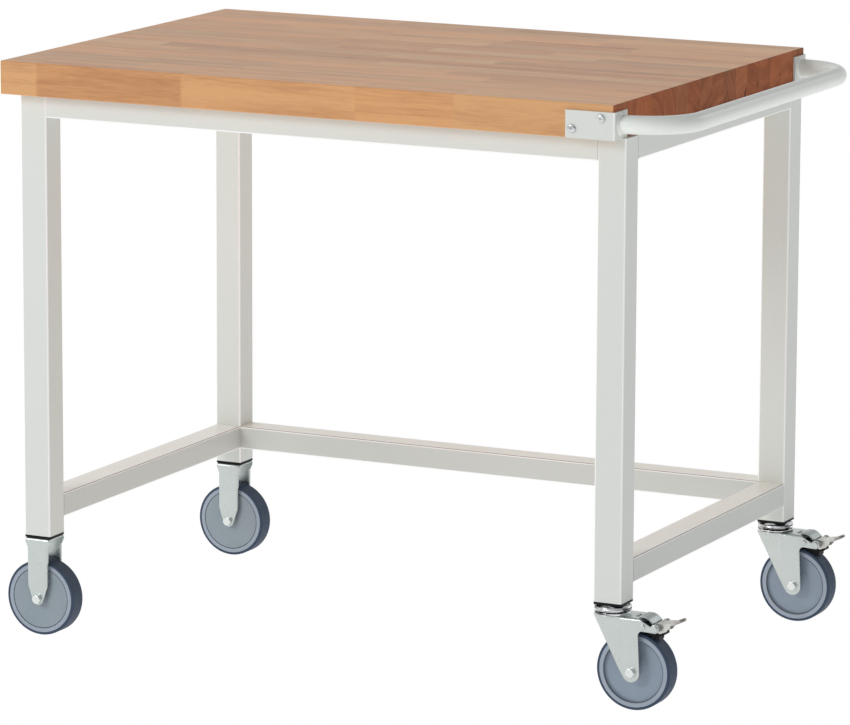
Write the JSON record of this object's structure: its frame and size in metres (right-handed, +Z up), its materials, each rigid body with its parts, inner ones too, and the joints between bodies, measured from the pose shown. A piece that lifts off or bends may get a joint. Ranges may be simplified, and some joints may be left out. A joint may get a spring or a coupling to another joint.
{
  "type": "mobile work table",
  "caption": "Mobile work table: thick glued-wood top on a welded tube frame, push handle at one end, fixed and braked swivel casters.",
  "frame": {"origin": "middle of the table's outer box, on the floor", "axes": "+X along the table towards the push handle, +Y to the back, +Z up"},
  "size_m": [1.12, 0.7116, 0.88],
  "materials": {
    "beech": "oiled glued beech staves",
    "powder_coat": "light grey powder coat, satin",
    "black_plastic": "matte moulded",
    "zinc": "bright zinc plated sheet",
    "bright_screw": "bright plated",
    "race_chrome": "polished plated rings",
    "cover_steel": "dark zinc",
    "pedal_steel": "zinc plated, rubbed at the tip",
    "spring_steel": "blued spring strip",
    "tyre": "dark blue-grey thermoplastic rubber",
    "wheel_plastic": "blue-grey moulded polypropylene"
  },
  "bodies": {
    "frame": {"bracket_screws": "bright_screw", "caster_studs": "zinc", "fixed_axle_bolts": "zinc", "fixed_axle_nuts": "zinc", "fixed_axle_tubes": "zinc", "fixed_fork_front": "zinc", "fixed_fork_rear": "zinc", "handle_bracket_front": "powder_coat", "handle_bracket_rear": "powder_coat", "leg_caps": "powder_coat", "leg_front_left": "powder_coat", "leg_front_right": "powder_coat", "leg_plugs": "black_plastic", "leg_rear_left": "powder_coat", "leg_rear_right": "powder_coat", "push_handle": "powder_coat", "stretcher_left": "powder_coat", "stretcher_rear": "powder_coat", "stretcher_right": "powder_coat", "thread_guards": "wheel_plastic", "top_rail_front": "powder_coat", "top_rail_left": "powder_coat", "top_rail_rear": "powder_coat", "top_rail_right": "powder_coat", "upper_race_front_right": "race_chrome", "upper_race_rear_right": "race_chrome", "worktop": "beech", "worktop_screws": "zinc"},
    "swivel_front": {"axle_bolt_front_right": "zinc", "axle_nut_front_right": "zinc", "axle_tube_front_right": "zinc", "bearing_balls_front_right": "race_chrome", "brake_cover_front_right": "cover_steel", "brake_leaf_front_right": "spring_steel", "brake_pins_front_right": "zinc", "leaf_rivets_front_right": "zinc", "lower_race_front_right": "race_chrome", "swivel_fork_front_right": "zinc"},
    "wheel_front_right": {"wheel_core_front_right": "wheel_plastic", "tyre_front_right": "tyre"},
    "wheel_front_left": {"wheel_core_front_left": "wheel_plastic", "tyre_front_left": "tyre"},
    "brake_pedal_front": {"brake_pedal_front_right": "pedal_steel"},
    "brake_shoe_front": {"brake_shoe_front_right": "black_plastic"},
    "swivel_rear": {"axle_bolt_rear_right": "zinc", "axle_nut_rear_right": "zinc", "axle_tube_rear_right": "zinc", "bearing_balls_rear_right": "race_chrome", "brake_cover_rear_right": "cover_steel", "brake_leaf_rear_right": "spring_steel", "brake_pins_rear_right": "zinc", "leaf_rivets_rear_right": "zinc", "lower_race_rear_right": "race_chrome", "swivel_fork_rear_right": "zinc"},
    "wheel_rear_right": {"wheel_core_rear_right": "wheel_plastic", "tyre_rear_right": "tyre"},
    "wheel_rear_left": {"wheel_core_rear_left": "wheel_plastic", "tyre_rear_left": "tyre"},
    "brake_pedal_rear": {"brake_pedal_rear_right": "pedal_steel"},
    "brake_shoe_rear": {"brake_shoe_rear_right": "black_plastic"}
  },
  "joints": [
    {"name": "wheel_front_left_spin", "type": "hinge", "parent": "frame", "child": "wheel_front_left", "pos_m": [-0.5025, -0.303, 0.0575], "axis": [0, 1, 0], "continuous": true},
    {"name": "swivel_front_turn", "type": "hinge", "parent": "frame", "child": "swivel_front", "pos_m": [0.443, -0.303, 0.138], "axis": [0, 0, 1], "continuous": true},
    {"name": "wheel_front_right_spin", "type": "hinge", "parent": "swivel_front", "child": "wheel_front_right", "pos_m": [0.4819, -0.303, 0.0575], "axis": [0, 1, 0], "continuous": true},
    {"name": "brake_pedal_front_press", "type": "hinge", "parent": "swivel_front", "child": "brake_pedal_front", "pos_m": [0.5185, -0.303, 0.1255], "axis": [0, 1, 0], "range_deg": [0, 25]},
    {"name": "brake_shoe_front_swing", "type": "hinge", "parent": "swivel_front", "child": "brake_shoe_front", "pos_m": [0.5, -0.303, 0.127], "axis": [0, 1, 0], "range_deg": [0, 6.3]},
    {"name": "wheel_rear_left_spin", "type": "hinge", "parent": "frame", "child": "wheel_rear_left", "pos_m": [-0.5025, 0.303, 0.0575], "axis": [0, 1, 0], "continuous": true},
    {"name": "swivel_rear_turn", "type": "hinge", "parent": "frame", "child": "swivel_rear", "pos_m": [0.443, 0.303, 0.138], "axis": [0, 0, 1], "continuous": true},
    {"name": "wheel_rear_right_spin", "type": "hinge", "parent": "swivel_rear", "child": "wheel_rear_right", "pos_m": [0.4819, 0.303, 0.0575], "axis": [0, 1, 0], "continuous": true},
    {"name": "brake_pedal_rear_press", "type": "hinge", "parent": "swivel_rear", "child": "brake_pedal_rear", "pos_m": [0.5185, 0.303, 0.1255], "axis": [0, 1, 0], "range_deg": [0, 25]},
    {"name": "brake_shoe_rear_swing", "type": "hinge", "parent": "swivel_rear", "child": "brake_shoe_rear", "pos_m": [0.5, 0.303, 0.127], "axis": [0, 1, 0], "range_deg": [0, 6.3]}
  ],
  "couplings": [
    {"joint": "brake_shoe_front_swing", "follows": "brake_pedal_front_press", "ratio": 0.252},
    {"joint": "brake_shoe_rear_swing", "follows": "brake_pedal_rear_press", "ratio": 0.252}
  ]
}
